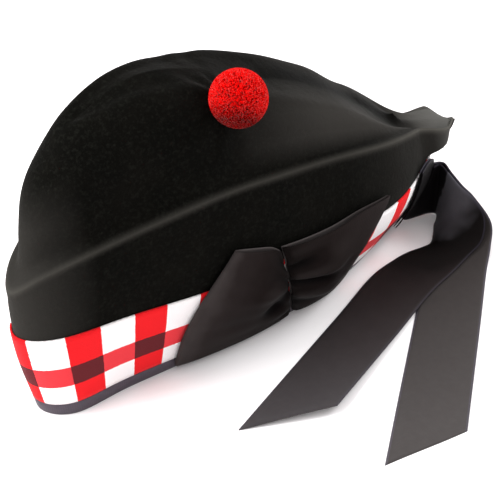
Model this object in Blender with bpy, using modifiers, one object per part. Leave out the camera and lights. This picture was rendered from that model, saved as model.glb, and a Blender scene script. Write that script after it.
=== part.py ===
"""A black felt glengarry, standing open on its rim, with a diced band, a toorie, a ribbon bow and two tails.

X runs along the cap from the forehead to the back. The bow is on the wearer's left, towards -Y, and the
tails lie beside the cap on the surface that it stands on.
"""
from math import cos, floor, pi, radians, sin

import bmesh
import bpy
from mathutils import Matrix, Vector

# Sizes in metres
RIM_LENGTH = 0.280
RIM_WIDTH = 0.060
FOLD_WIDTH = 0.075
WALL_BULGE = 0.009
FOLD_TUCK = 0.0022
PROW_SWELL = 0.0065
FOLD_HEIGHT = 0.102
FOLD_FRONT_REACH = 0.006
FOLD_BACK_REACH = 0.034
CROWN_HEIGHT = 0.157
CREST_WIDTH = 0.036
CREST_FRONT_SETBACK = 0.033
CREST_BACK_SETBACK = 0.012
NEAR_CREST_DROP = 0.013
CREASE_DEPTH = 0.002
CREASE_SETBACK = 0.013
CREASE_FRONT_RISE = 0.005
CREASE_BACK_RISE = 0.006
FELT = 0.002
BAND_HEIGHT = 0.0435
BAND_THICKNESS = 0.0010
BINDING_HEIGHT = 0.0065
BINDING_THICKNESS = 0.0010
BINDING_SLACK = 0.0001
TOORIE_DIAMETER = 0.0285
TOORIE_PLACE = -0.034
TOORIE_LOCK = 0.0022
TOORIE_SINK = 0.0035
RIBBON = 0.0010
BOW_LENGTH = 0.133
BOW_HEIGHT = 0.067
BOW_PLACE = -0.001
BOW_PUFF = 0.006
TAIL_WIDTH = 0.0355
UPPER_TAIL_LENGTH = 0.255
LOWER_TAIL_LENGTH = 0.240
TAIL_CUT = 0.034
TAIL_PLACE = 0.122
TAIL_FOOT = 0.0045
GAP = 0.0003
OVER_BAND = BAND_THICKNESS + 3 * GAP + RIBBON / 2
TAIL_LAYER = RIBBON + 4 * GAP
TAIL_SPREAD = 0.003

# The cap's outline at stations round each side, evenly spaced in the turn from its front tip to its back
# tip. rim_out, fold_out and crest_out are shares of half those widths, fold_up and crest_up are shares of
# those heights, drop is the share of how far the near crest lies under the far one, bulge is the share of
# how far the wall swells out between the rim and the fold, prow that of the crown above the fold, and tuck
# that of how far the felt turns in just above the fold.
STATIONS = (
    # rim_out, fold_out, fold_up, crest_out, crest_up, drop, bulge, prow, tuck
    (0.00, 0.00, 0.750, 0.00, 0.930, 0.00, 0.35, 1.00, 1.00),
    (0.46, 0.36, 0.850, 0.40, 0.965, 0.20, 0.30, 0.90, 1.00),
    (0.57, 0.72, 0.960, 0.68, 1.000, 0.30, 0.25, 0.50, 1.00),
    (0.80, 0.94, 0.995, 0.93, 0.965, 0.55, 0.75, 0.15, 1.00),
    (1.02, 1.00, 0.925, 1.00, 0.880, 1.00, 0.90, 0.00, 1.00),
    (0.91, 0.91, 0.790, 1.00, 0.735, 0.92, 1.40, 0.00, 0.80),
    (0.54, 0.46, 0.625, 0.90, 0.565, 0.92, 1.20, 0.00, 0.40),
    (0.32, 0.18, 0.525, 0.60, 0.430, 0.70, 0.20, 0.00, 0.15),
    (0.00, 0.00, 0.460, 0.00, 0.400, 0.00, 0.30, 0.00, 0.10),
)
RIM_OUT, FOLD_OUT, FOLD_UP, CREST_OUT, CREST_UP, DROP, BULGE, PROW, TUCK = range(9)
TURNS = 56
BOW_COLUMNS = 6
TAIL_COLUMNS = 4
TAIL_STEPS = 4
LOOP_STEPS = 2
BAND_STEPS = 5
HALVINGS = 24
SKIN_STEP = 0.0005
SEAT_STEP = 0.01
BOW_EDGE_PUFF = 0.35
WALL_TOP_SHARES = (0.5, 0.8)
CROWN_STEP = 0.5
MERGE = 0.00001

# Colours and roughnesses
FELT_LOOK = ((0.012, 0.012, 0.013), 0.9)
DICING_LOOK = ((0.6, 0.05, 0.05), 0.8)
BINDING_LOOK = ((0.03, 0.025, 0.035), 0.6)
TOORIE_LOOK = ((0.75, 0.01, 0.01), 0.9)
RIBBON_LOOK = ((0.03, 0.025, 0.025), 0.55)

# The section up one side: each level lies a share of the way from one outline to the next. bulge, tuck
# and prow push it outwards by shares of the wall's bulge, the tuck above the fold and the prow's swell.
LEVELS = (
    # outline below, share, bulge, tuck, prow
    (0, 0.00, 0.00, 0.0, 0.0),
    (0, 0.18, 0.50, 0.0, 0.0),
    (0, 0.42, 0.95, 0.0, 0.0),
    (0, 0.68, 0.90, 0.0, 0.0),
    (0, 0.90, 0.32, 0.0, 0.0),
    (1, 0.00, 0.00, 0.0, 0.0),
    (1, 0.12, 0.00, -1.0, 0.1),
    (1, 0.35, 0.00, -0.8, 0.8),
    (1, 0.62, 0.00, 0.6, 1.0),
    (1, 0.86, 0.00, 0.7, 0.6),
    (2, 0.00, 0.00, 0.0, 0.1),
    (2, 0.45, 0.00, -0.2, 0.0),
    (3, 0.00, 0.00, 0.0, 0.0),
)
FOLD_LEVEL = 5
TOORIE_LEVEL = 9.25
SECTION_STEPS = 6

# The bow's two loops, each from the pinched middle to its far end. low and high are the ribbon's two edges:
# _x is a share of the bow's length from its middle, _up a share of its height up the wall, puff the share of
# how far the loop stands out between them, and round how far the line between them bends forwards.
FRONT_LOOP = (
    # low_x, low_up, high_x, high_up, puff, round
    (0.000, 0.075, -0.130, 0.900, 0.25, 0.000),
    (-0.093, 0.055, -0.170, 0.960, 0.70, 0.000),
    (-0.247, 0.055, -0.236, 1.010, 1.00, 0.011),
    (-0.417, 0.055, -0.296, 1.050, 0.80, 0.033),
    (-0.541, 0.060, -0.329, 1.070, 0.30, 0.055),
)
REAR_LOOP = (
    # low_x, low_up, high_x, high_up, puff, round
    (0.008, 0.090, -0.121, 0.920, 0.25, 0.000),
    (0.082, 0.055, 0.011, 0.890, 0.60, 0.000),
    (0.187, 0.055, 0.143, 0.885, 0.90, 0.011),
    (0.263, 0.055, 0.296, 0.925, 0.55, 0.033),
    (0.302, 0.100, 0.461, 0.930, 0.20, 0.055),
)

# The tails, from where they leave the wall to their cut ends. x and y are shares of the tail's length from
# its root on the wall, heading and tilt turn the ribbon's width in plan and up in degrees, and layer counts
# the ribbons that it lies on. The lower tail starts out under the upper one, along its first sections.
UPPER_TAIL = (
    # x, y, heading, tilt, layer
    (0.0295, -0.0064, 76, 92, 1.0),
    (0.0468, -0.0165, 74, 87, 1.0),
    (0.0295, -0.0432, -72, 84, 1.0),
    (0.0095, -0.0726, -75, 69, 1.0),
    (-0.0046, -0.1048, -59, 54, 1.0),
    (-0.0156, -0.1291, -40, 30, 1.0),
    (-0.0411, -0.1369, -45, 10, 1.0),
    (-0.0881, -0.1330, -52, 2, 1.0),
    (-0.1430, -0.1362, -61, 0, 1.0),
    (-0.2450, -0.1479, -71, 0, 1.0),
    (-0.4124, -0.1911, -76.5, 4, 0.0),
    (-0.7901, -0.2895, -76.5, 12, 0.0),
)
LOWER_TAIL = (
    # x, y, heading, tilt, layer
    (0.0055, -0.1384, -48, 24, 0.0),
    (-0.0249, -0.1580, -56, 6, 0.0),
    (-0.0990, -0.2013, -58.4, 0, 0.0),
    (-0.2653, -0.3068, -58.4, 0, 0.0),
    (-0.5061, -0.4580, -58.4, 0, 0.0),
    (-0.6728, -0.5634, -58.4, 0, 0.0),
)
SHARED_SECTIONS = 5

# The tails' sections on the wall: run is a share of the sewn run, lift a count of ribbons off the wall, and
# climb the share of how much higher than its foot the tail starts.
ROOT_SECTIONS = (
    # run, lift, climb
    (0.0, 0.0, 1.0),
    (0.4, 0.0, 0.7),
    (0.8, 0.0, 0.2),
    (1.0, 1.2, 0.0),
)
ROOT_RUN = 0.026
ROOT_CLIMB = 0.013


def spline(before, start, end, after, share):
    """A Catmull-Rom step from start to end, for numbers and vectors."""
    slope_in = (end - before) / 2
    slope_out = (after - start) / 2
    rise = end - start
    bend = rise - slope_in
    turn_back = slope_in + slope_out - 2 * rise
    return start + slope_in * share + (bend - turn_back) * share ** 2 + turn_back * share ** 3


def along(points, place):
    """The smooth curve through points, at a place counted in points from the first."""
    last = len(points) - 1
    index = min(max(int(floor(place)), 0), last - 1)
    start, end = points[index], points[index + 1]
    before = points[index - 1] if index > 0 else start * 2 - end
    after = points[index + 2] if index + 2 <= last else end * 2 - start
    return spline(before, start, end, after, place - index)


def column(name, turn, odd=False):
    """A column of the stations at a turn round the cap, mirrored at the tips."""
    last = len(STATIONS) - 1
    place = last * (turn if turn <= pi else 2 * pi - turn) / pi
    index = min(int(place), last - 1)
    flip = -1 if odd else 1

    def value(row):
        if row < 0:
            return flip * STATIONS[-row][name]
        if row > last:
            return flip * STATIONS[2 * last - row][name]
        return STATIONS[row][name]

    return spline(value(index - 1), value(index), value(index + 1), value(index + 2), place - index)


def side(turn):
    return -1 if turn <= pi else 1


def lengthwise(turn, front, back):
    return front + (back - front) * (1 - cos(turn)) / 2


def rim_point(turn):
    x = lengthwise(turn, -RIM_LENGTH / 2, RIM_LENGTH / 2)
    y = side(turn) * RIM_WIDTH / 2 * column(RIM_OUT, turn, odd=True)
    return Vector((x, y, BINDING_THICKNESS + GAP))


def fold_point(turn):
    x = lengthwise(turn, -RIM_LENGTH / 2 - FOLD_FRONT_REACH, RIM_LENGTH / 2 + FOLD_BACK_REACH)
    y = side(turn) * FOLD_WIDTH / 2 * column(FOLD_OUT, turn, odd=True)
    return Vector((x, y, FOLD_HEIGHT * column(FOLD_UP, turn)))


def crest_height(turn, near):
    drop = NEAR_CREST_DROP * column(DROP, turn) if near else 0
    return CROWN_HEIGHT * column(CREST_UP, turn) - drop


def crest_point(turn):
    x = lengthwise(turn, -RIM_LENGTH / 2 + CREST_FRONT_SETBACK, RIM_LENGTH / 2 - CREST_BACK_SETBACK)
    y = side(turn) * CREST_WIDTH / 2 * column(CREST_OUT, turn, odd=True)
    return Vector((x, y, crest_height(turn, near=turn <= pi)))


def crease_point(turn):
    setback = CREST_FRONT_SETBACK + CREASE_SETBACK
    x = lengthwise(turn, -RIM_LENGTH / 2 + setback, RIM_LENGTH / 2 - CREST_BACK_SETBACK - CREASE_SETBACK)
    level = (crest_height(turn, near=True) + crest_height(turn, near=False)) / 2
    rise = CREASE_FRONT_RISE * max(cos(turn), 0) + CREASE_BACK_RISE * max(-cos(turn), 0)
    return Vector((x, 0, level + rise - CREASE_DEPTH * abs(sin(turn))))


def outward(turn):
    """The direction away from the cap's middle plane, turning forwards and back at the tips."""
    return Vector((-FOLD_WIDTH * cos(turn), side(turn) * RIM_LENGTH * abs(sin(turn)), 0)).normalized()


def level_points(turn):
    outlines = (rim_point(turn), fold_point(turn), crest_point(turn), crease_point(turn))
    points = []
    wall_swell = WALL_BULGE * column(BULGE, turn)
    prow_swell = PROW_SWELL * column(PROW, turn)
    fold_tuck = FOLD_TUCK * column(TUCK, turn)
    for below, share, bulge, tuck, prow in LEVELS:
        point = outlines[below]
        if share:
            point = point.lerp(outlines[below + 1], share)
        push = bulge * wall_swell + tuck * fold_tuck + prow * prow_swell
        points.append(point + outward(turn) * push)
    return points


def wall_point(turn, height):
    """The felt's outer face at a height measured up the slope of the wall from the rim."""
    points = level_points(turn)
    steps = FOLD_LEVEL * SECTION_STEPS
    here = points[0]
    climbed = 0
    for step in range(1, steps + 1):
        following = along(points, step / SECTION_STEPS)
        length = (following - here).length
        if climbed + length >= height or step == steps:
            return here.lerp(following, (height - climbed) / length)
        climbed += length
        here = following


def wall_skin(turn, height, offset):
    """A point that stands off the wall by an offset, square to it."""
    up = wall_point(turn, height + SKIN_STEP) - wall_point(turn, height)
    ahead = wall_point(turn + SKIN_STEP, height) - wall_point(turn - SKIN_STEP, height)
    return wall_point(turn, height) + ahead.cross(up).normalized() * offset


def near_turn(x, outline):
    """The turn on the near side at which an outline reaches a place along the cap."""
    low, high = 0, pi
    for halving in range(HALVINGS):
        middle = (low + high) / 2
        if outline(middle).x < x:
            low = middle
        else:
            high = middle
    return low


def wall_turn(x, height):
    return near_turn(x, lambda turn: wall_point(turn, height))


def add_material(thing, look):
    color, roughness = look
    material = bpy.data.materials.new(thing.name)
    material.use_nodes = True
    shader = material.node_tree.nodes["Principled BSDF"]
    shader.inputs["Base Color"].default_value = (*color, 1)
    shader.inputs["Roughness"].default_value = roughness
    shader.inputs["Metallic"].default_value = 0
    thing.data.materials.append(material)


def finish(name, work, collection, look):
    bmesh.ops.remove_doubles(work, verts=work.verts, dist=MERGE)
    bmesh.ops.recalc_face_normals(work, faces=work.faces)
    mesh = bpy.data.meshes.new(name)
    work.to_mesh(mesh)
    work.free()
    mesh.shade_smooth()
    thing = bpy.data.objects.new(name, mesh)
    collection.objects.link(thing)
    add_material(thing, look)
    return thing


def sheet(rows, closed):
    """A bmesh through rows of points, joined round when the rows are closed."""
    work = bmesh.new()
    grid = [[work.verts.new(point) for point in row] for row in rows]
    columns = len(rows[0])
    for lower, upper in zip(grid, grid[1:]):
        for index in range(columns if closed else columns - 1):
            following = (index + 1) % columns
            corners = (lower[index], lower[following], upper[following], upper[index])
            work.faces.new(corners)
    return work


def thicken(thing, thickness, offset):
    solid = thing.modifiers.new("Thickness", "SOLIDIFY")
    solid.thickness = thickness
    solid.offset = offset


def turns():
    return [2 * pi * index / TURNS for index in range(TURNS)]


def wall_heights():
    """Heights up the wall at which the felt, the binding and the band all have an edge."""
    start = BINDING_HEIGHT + GAP
    band = [start + BAND_HEIGHT * step / BAND_STEPS for step in range(BAND_STEPS + 1)]
    return [0, BINDING_HEIGHT] + band


def make_bonnet(collection):
    sections = [level_points(turn) for turn in turns()]
    rows = [[wall_point(turn, height) for turn in turns()] for height in wall_heights()]
    band_top = rows[-1]
    for share in WALL_TOP_SHARES:
        rows.append([top.lerp(points[FOLD_LEVEL], share) for top, points in zip(band_top, sections)])
    place = FOLD_LEVEL
    while place <= len(LEVELS) - 1:
        rows.append([along(points, place) for points in sections])
        place += CROWN_STEP
    bonnet = finish("bonnet", sheet(rows, closed=True), collection, FELT_LOOK)
    thicken(bonnet, FELT, -1)
    return bonnet


def make_band(collection):
    rows = [[wall_skin(turn, height, GAP) for turn in turns()] for height in wall_heights()[2:]]
    band = finish("diced_band", sheet(rows, closed=True), collection, DICING_LOOK)
    thicken(band, BAND_THICKNESS, 1)
    return band


def make_binding(collection):
    """A strip folded round the felt's edge, flat where it rests."""
    out = GAP + BINDING_SLACK
    inside = FELT + 2 * GAP + BINDING_SLACK
    thickness = BINDING_THICKNESS
    rows = []
    for turn in turns():
        foot = wall_point(turn, 0)
        away = wall_skin(turn, 0, 1) - foot
        away.z = 0
        away.normalize()
        top_out = wall_skin(turn, BINDING_HEIGHT, out)
        top_outer = wall_skin(turn, BINDING_HEIGHT, out + thickness)
        top_in = wall_skin(turn, BINDING_HEIGHT, -inside)
        top_inner = wall_skin(turn, BINDING_HEIGHT, -inside - thickness)
        corner_out = Vector((foot.x, foot.y, thickness)) + away * out
        corner_in = Vector((foot.x, foot.y, thickness)) - away * inside
        foot_outer = Vector((foot.x, foot.y, 0)) + away * (out + thickness)
        foot_inner = Vector((foot.x, foot.y, 0)) - away * (inside + thickness)
        rows.append([foot_outer, top_outer, top_out, corner_out, corner_in, top_in, top_inner, foot_inner])
    rows.append(rows[0])
    return finish("edge_binding", sheet(rows, closed=True), collection, BINDING_LOOK)


def crown_point(turn, level):
    return along(level_points(turn), level)


def make_toorie(collection):
    """A round head whose locks stand out between dimples, pressed flat where it is sewn to the crown."""
    turn = near_turn(TOORIE_PLACE, lambda turn: crown_point(turn, TOORIE_LEVEL))
    seat = crown_point(turn, TOORIE_LEVEL)
    up = crown_point(turn, TOORIE_LEVEL + SEAT_STEP) - crown_point(turn, TOORIE_LEVEL - SEAT_STEP)
    ahead = crown_point(turn + SEAT_STEP, TOORIE_LEVEL) - crown_point(turn - SEAT_STEP, TOORIE_LEVEL)
    away = ahead.cross(up).normalized()
    work = bmesh.new()
    bmesh.ops.create_icosphere(work, subdivisions=3, radius=TOORIE_DIAMETER / 2)
    bmesh.ops.poke(work, faces=work.faces[:], offset=-TOORIE_LOCK)
    middle = seat + away * (TOORIE_DIAMETER / 2 - TOORIE_SINK)
    for vertex in work.verts:
        vertex.co += middle
        sunk = GAP - (vertex.co - seat).dot(away)
        if sunk > 0:
            vertex.co += away * sunk
    return finish("toorie", work, collection, TOORIE_LOOK)


def bow_section(row, layer):
    """One line across a loop from its low edge to its high one: layer 1 is its face, 0 its back."""
    low_x, low_up, high_x, high_up, puff, round_share = row
    points = []
    for index in range(BOW_COLUMNS + 1):
        share = index / BOW_COLUMNS
        along_bow = low_x + (high_x - low_x) * share - round_share * sin(pi * share)
        x = BOW_PLACE + BOW_LENGTH * along_bow
        height = BOW_HEIGHT * (low_up + (high_up - low_up) * share)
        swell = BOW_EDGE_PUFF + (1 - BOW_EDGE_PUFF) * sin(pi * share)
        rise = layer * (RIBBON + 2 * GAP + BOW_PUFF * puff * swell)
        points.append(wall_skin(wall_turn(x, height), height, OVER_BAND + rise))
    return points


def make_loop(name, loop, collection):
    """A ribbon out from the pinched middle to the loop's far end and back again behind itself."""
    face = [bow_section(row, 1) for row in loop]
    back = [bow_section(row, 0) for row in loop]
    lines = face + back[::-1]
    rows = []
    for step in range(LOOP_STEPS * (len(lines) - 1) + 1):
        place = step / LOOP_STEPS
        rows.append([along([line[index] for line in lines], place) for index in range(BOW_COLUMNS + 1)])
    ribbon = finish(name, sheet(rows, closed=False), collection, RIBBON_LOOK)
    thicken(ribbon, RIBBON, 0)
    return ribbon


def tail_root(run, lift, climb, layer):
    """The points across a tail where it lies against the wall, from just above the surface."""
    stand = OVER_BAND + lift * RIBBON + layer * TAIL_LAYER
    turn = wall_turn(TAIL_PLACE - ROOT_RUN * (1 - run), TAIL_WIDTH / 2)
    foot = TAIL_FOOT + ROOT_CLIMB * climb
    heights = [foot + TAIL_WIDTH * index / TAIL_COLUMNS for index in range(TAIL_COLUMNS + 1)]
    return [wall_skin(turn, height, stand) for height in heights]


def tail_frames(table, length):
    """The middle and the width's direction of each section of a tail."""
    root = tail_root(*ROOT_SECTIONS[-1], 1)[TAIL_COLUMNS // 2]
    frames = []
    for x, y, heading, tilt, layer in table:
        heading, tilt = radians(heading), radians(tilt)
        across = Vector((cos(heading) * cos(tilt), sin(heading) * cos(tilt), sin(tilt)))
        height = RIBBON / 2 + layer * TAIL_LAYER + sin(tilt) * TAIL_WIDTH / 2
        frames.append((Vector((root.x + x * length, root.y + y * length, height)), across))
    return frames


def tail_lines(frames):
    """The points across each section of a tail, from its low or left edge."""
    shares = [index / TAIL_COLUMNS - 0.5 for index in range(TAIL_COLUMNS + 1)]
    return [[middle + across * share * TAIL_WIDTH for share in shares] for middle, across in frames]


def under(before, line, after):
    """The same section behind the ribbon's back, each point square to the face there."""
    across = line[-1] - line[0]
    lowered = []
    for start, point, end in zip(before, line, after):
        bend = (point - start).angle(end - point)
        lowered.append(point - across.cross(start - end).normalized() * TAIL_SPREAD / cos(bend / 2))
    return lowered


def make_tail(name, lines, collection):
    """A flat ribbon through its sections, its end cut aslant with the long point on its left."""
    last = len(lines) - 1
    run = (lines[-1][0] - lines[-2][0]).length
    rows = []
    steps = TAIL_STEPS * last
    for step in range(steps + 1):
        row = []
        for index in range(TAIL_COLUMNS + 1):
            place = step / TAIL_STEPS
            if place > last - 1:
                cut = TAIL_CUT / run * index / TAIL_COLUMNS
                place = last - 1 + (place - last + 1) * (1 - cut)
            point = along([line[index] for line in lines], place)
            point.z = max(point.z, RIBBON / 2)
            row.append(point)
        rows.append(row)
    ribbon = finish(name, sheet(rows, closed=False), collection, RIBBON_LOOK)
    thicken(ribbon, RIBBON, 0)
    return ribbon


def rest_on_origin(collection):
    """Moves every piece so that the origin is under the middle of the whole, on the surface below it."""
    bpy.context.view_layer.update()
    graph = bpy.context.evaluated_depsgraph_get()
    shown = [thing.evaluated_get(graph) for thing in collection.objects]
    corners = [Vector(corner) for thing in shown for corner in thing.bound_box]
    low = Vector([min(corner[axis] for corner in corners) for axis in range(3)])
    high = Vector([max(corner[axis] for corner in corners) for axis in range(3)])
    move = Matrix.Translation((-(low.x + high.x) / 2, -(low.y + high.y) / 2, -low.z))
    for thing in collection.objects:
        thing.data.transform(move)


def make_part():
    for thing in list(bpy.data.objects):
        bpy.data.objects.remove(thing)
    collection = bpy.data.collections.new("glengarry")
    bpy.context.scene.collection.children.link(collection)
    make_bonnet(collection)
    make_band(collection)
    make_binding(collection)
    make_toorie(collection)
    make_loop("cockade_front", FRONT_LOOP, collection)
    make_loop("cockade_rear", REAR_LOOP, collection)
    upper = [tail_root(*row, 1) for row in ROOT_SECTIONS]
    upper += tail_lines(tail_frames(UPPER_TAIL, UPPER_TAIL_LENGTH))
    make_tail("tail_upper", upper, collection)
    lower = [tail_root(*row, 0) for row in ROOT_SECTIONS]
    for index in range(len(lower), len(lower) + SHARED_SECTIONS):
        lower.append(under(upper[index - 1], upper[index], upper[index + 1]))
    lower += tail_lines(tail_frames(LOWER_TAIL, LOWER_TAIL_LENGTH))
    make_tail("tail_lower", lower, collection)
    rest_on_origin(collection)


make_part()
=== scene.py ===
from math import cos, pi, radians, sin

import bmesh
import bpy
import numpy as np
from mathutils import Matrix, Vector


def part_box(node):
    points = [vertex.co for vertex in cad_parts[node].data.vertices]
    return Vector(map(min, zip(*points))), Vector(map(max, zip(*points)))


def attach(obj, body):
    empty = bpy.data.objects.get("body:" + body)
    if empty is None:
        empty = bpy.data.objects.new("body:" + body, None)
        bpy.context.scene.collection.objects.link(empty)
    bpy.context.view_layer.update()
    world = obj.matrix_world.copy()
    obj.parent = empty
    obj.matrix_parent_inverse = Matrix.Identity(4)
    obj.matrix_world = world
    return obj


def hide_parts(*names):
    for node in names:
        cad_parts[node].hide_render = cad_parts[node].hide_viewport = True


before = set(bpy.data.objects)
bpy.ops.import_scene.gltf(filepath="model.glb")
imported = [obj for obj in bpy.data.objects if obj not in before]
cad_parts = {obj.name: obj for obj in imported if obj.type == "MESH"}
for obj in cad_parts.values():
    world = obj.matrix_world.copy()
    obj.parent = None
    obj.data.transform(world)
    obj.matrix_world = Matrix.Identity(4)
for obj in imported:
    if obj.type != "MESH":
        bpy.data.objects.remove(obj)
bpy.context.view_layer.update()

feltLow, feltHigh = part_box("bonnet")

# The cap's form, which the band, the binding, the bow and the tails follow

cap = {
    "rimLength": 0.280, "rimWidth": 0.060, "foldWidth": 0.075, "wallBulge": 0.009, "foldTuck": 0.0022,
    "prowSwell": 0.0065, "foldHeight": 0.102, "foldFrontReach": 0.006, "foldBackReach": 0.034,
    "crownHeight": 0.157, "crestWidth": 0.036, "crestFrontSetback": 0.033, "crestBackSetback": 0.012,
    "nearCrestDrop": 0.013, "creaseDepth": 0.002, "creaseSetback": 0.013, "creaseFrontRise": 0.005,
    "creaseBackRise": 0.012, "felt": 0.002, "foot": 0.0013,
    "stations": {
        "rimOut": (0, .46, .57, .80, 1.02, .91, .54, .32, 0),
        "foldOut": (0, .36, .72, .94, 1, .91, .46, .18, 0),
        "foldUp": (.750, .850, .960, .995, .925, .790, .625, .525, .460),
        "crestOut": (0, .40, .68, .93, 1, 1, .90, .60, 0),
        "crestUp": (.930, .965, 1, .965, .880, .735, .565, .430, .400),
        "drop": (0, .20, .30, .55, 1, .92, .92, .70, 0),
        "bulge": (.35, .30, .25, .75, .90, 1.40, 1.10, -.15, -.50),
        "prow": (1, .90, .50, .15, 0, 0, 0, 0, 0),
        "tuck": (1, 1, 1, 1, 1, .80, .40, .15, .10),
    },
    # outline below, share of the way to the next, bulge, tuck, prow
    "levels": (
        (0, 0, 0, 0, 0), (0, .18, .50, 0, 0), (0, .42, .95, 0, 0), (0, .68, .90, 0, 0), (0, .90, .32, 0, 0),
        (1, 0, 0, 0, 0), (1, .12, 0, -1, .1), (1, .35, 0, -.8, .8), (1, .62, 0, .6, 1), (1, .86, 0, .7, .6),
        (2, 0, 0, 0, .1), (2, .45, 0, -.2, 0), (3, 0, 0, 0, 0),
    ),
    "foldLevel": 5, "columns": 336, "wallRows": 44, "crownRows": 60,
    # waves of the crown and puckers round the toorie, and where the band and the bow hold the felt flat
    "wave": 0.0004, "waveScale": 16.0, "waveSeed": 11,
    "pucker": 0.0006, "puckerFolds": 9, "puckerFrom": (0.004, 0.012), "puckerTo": (0.055, 0.012),
    "wobble": 0.5, "wobbleScale": 22.0, "wobbleSeed": 3,
    "offBand": (0.052, 0.068), "offBow": (0.078, 0.096), "bowAlong": (0.105, 0.080), "bowAcross": (0, -0.014),
    "offTip": (0.120, 0.085), "offCrease": 1.2, "ridge": 0.0005, "ridgeWidth": 0.0018,
    # the lip that hangs over the band at the back tip, and the tip's broad, raised and blunt end
    "lip": 0.0055, "lipDroop": 0.35, "lipUp": (0.0508, 0.0560), "lipOver": (0.016, 0.004),
    "lipRound": (0.70, 0.97),
    "flare": 0.60, "flareFrom": (0.118, 0.145), "flareTo": (0.170, 0.146), "flareOver": (0.030, 0.010),
    "tipRise": 0.0034, "tipRiseFrom": (0.146, 0.168), "tip": 0.164, "blunt": 0.62,
    # places along the far crest, their widths and how much the felt rises there
    "crestRises": ((0.104, 0.014, 0.0038), (0.142, 0.017, -0.0042)), "farSide": (-0.002, 0.005),
    "farOver": (-0.006, 0.002),
    # where the felt is evened out beside the crease's back end, and in how many rounds
    "evenRounds": 90, "evenAlong": (0.088, 0.106), "evenOver": (0.004, 0.018),
}

capPlace = np.zeros(3)


def catmull(before, start, end, after, share):
    slopeIn = (end - before) / 2
    slopeOut = (after - start) / 2
    rise = end - start
    turnBack = slopeIn + slopeOut - 2 * rise
    return start + slopeIn * share + (rise - slopeIn - turnBack) * share ** 2 + turnBack * share ** 3


def smoothAlong(points, places):
    # the smooth curve through the points' first axis, at places counted from the first point
    points = np.asarray(points, float)
    ends = 2 * points[:1] - points[1:2], 2 * points[-1:] - points[-2:-1]
    points = np.concatenate([ends[0], points, ends[1]])
    places = np.asarray(places, float)
    index = np.clip(np.floor(places).astype(int), 0, len(points) - 4)
    share = (places - index).reshape((-1,) + (1,) * (points.ndim - 1))
    return catmull(points[index], points[index + 1], points[index + 2], points[index + 3], share)


def station(name, turn, odd=False):
    # a form's share at a turn, between the stations from the forehead to the back tip
    values = np.array(cap["stations"][name], float)
    flip = -1 if odd else 1
    values = np.concatenate([flip * values[1:2], values, flip * values[-2:-1]])
    place = (len(values) - 3) * np.where(turn <= pi, turn, 2 * pi - turn) / pi
    index = np.clip(np.floor(place).astype(int), 0, len(values) - 4)
    return catmull(values[index], values[index + 1], values[index + 2], values[index + 3], place - index)


def unit(vectors):
    return vectors / np.linalg.norm(vectors, axis=-1, keepdims=True)


def outwardAt(turn):
    # the level direction away from the cap's middle line
    return unit(np.stack([-cap["foldWidth"] * np.cos(turn), -cap["rimLength"] * np.sin(turn), 0 * turn], -1))


def levelPoints(turn):
    # the felt's outer points at each level, from the rim up over the fold and the crest to the crease
    turn = np.mod(turn, 2 * pi)
    side = np.where(turn <= pi, -1.0, 1.0)
    half = cap["rimLength"] / 2

    def crestHeight(near):
        drop = cap["nearCrestDrop"] * station("drop", turn) * near
        return cap["crownHeight"] * station("crestUp", turn) - drop

    def outline(front, back, width, name, height):
        along = front + (back - front) * (1 - np.cos(turn)) / 2
        across = side * width / 2 * station(name, turn, odd=True) if name else 0 * turn
        return np.stack([along, across, height], -1)

    front, back = -half + cap["crestFrontSetback"], half - cap["crestBackSetback"]
    middle = (crestHeight(1) + crestHeight(0)) / 2 - cap["creaseDepth"] * np.abs(np.sin(turn))
    middle += cap["creaseFrontRise"] * np.maximum(np.cos(turn), 0)
    middle += cap["creaseBackRise"] * np.maximum(-np.cos(turn), 0)
    outlines = (
        outline(-half, half, cap["rimWidth"], "rimOut", 0 * turn + cap["foot"]),
        outline(-half - cap["foldFrontReach"], half + cap["foldBackReach"], cap["foldWidth"], "foldOut",
                cap["foldHeight"] * station("foldUp", turn)),
        outline(front, back, cap["crestWidth"], "crestOut", crestHeight(side < 0)),
        outline(front + cap["creaseSetback"], back - cap["creaseSetback"], 0, None, middle),
    )
    outward = outwardAt(turn)
    wallSwell = cap["wallBulge"] * station("bulge", turn)
    prowSwell = cap["prowSwell"] * station("prow", turn)
    foldTuck = cap["foldTuck"] * station("tuck", turn)
    points = []
    for below, share, bulge, tuck, prow in cap["levels"]:
        point = outlines[below]
        if share:
            point = point * (1 - share) + outlines[below + 1] * share
        push = bulge * wallSwell + tuck * foldTuck + prow * prowSwell
        points.append(point + outward * push[:, None])
    return np.array(points) + capPlace


# where the cap's middle lies: between the ends of its bonnet, as the form reaches them
tips = smoothAlong(levelPoints(np.array((0, pi))), np.linspace(0, len(cap["levels"]) - 1, 241))
capX = (feltLow.x - tips[:, 0, 0].min() + feltHigh.x - tips[:, 1, 0].max()) / 2
capPlace = np.array((capX, (feltLow.y + feltHigh.y) / 2, 0))


def climbAlong(rows):
    # how far each point lies from the first row, measured up its own column
    steps = np.linalg.norm(np.diff(rows, axis=0), axis=-1)
    return np.concatenate([0 * steps[:1], np.cumsum(steps, 0)])


def wallPoint(turn, height, fine=12):
    # the felt's outer face at heights measured up the slope from the rim, one for each turn
    line = smoothAlong(levelPoints(turn), np.arange(cap["foldLevel"] * fine + 1) / fine)
    climbed = climbAlong(line)
    step = np.clip((climbed <= height).sum(0) - 1, 0, len(line) - 2)
    pick = np.arange(len(turn))
    low, high = climbed[step, pick], climbed[step + 1, pick]
    share = ((height - low) / (high - low))[:, None]
    return line[step, pick] * (1 - share) + line[step + 1, pick] * share


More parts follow.
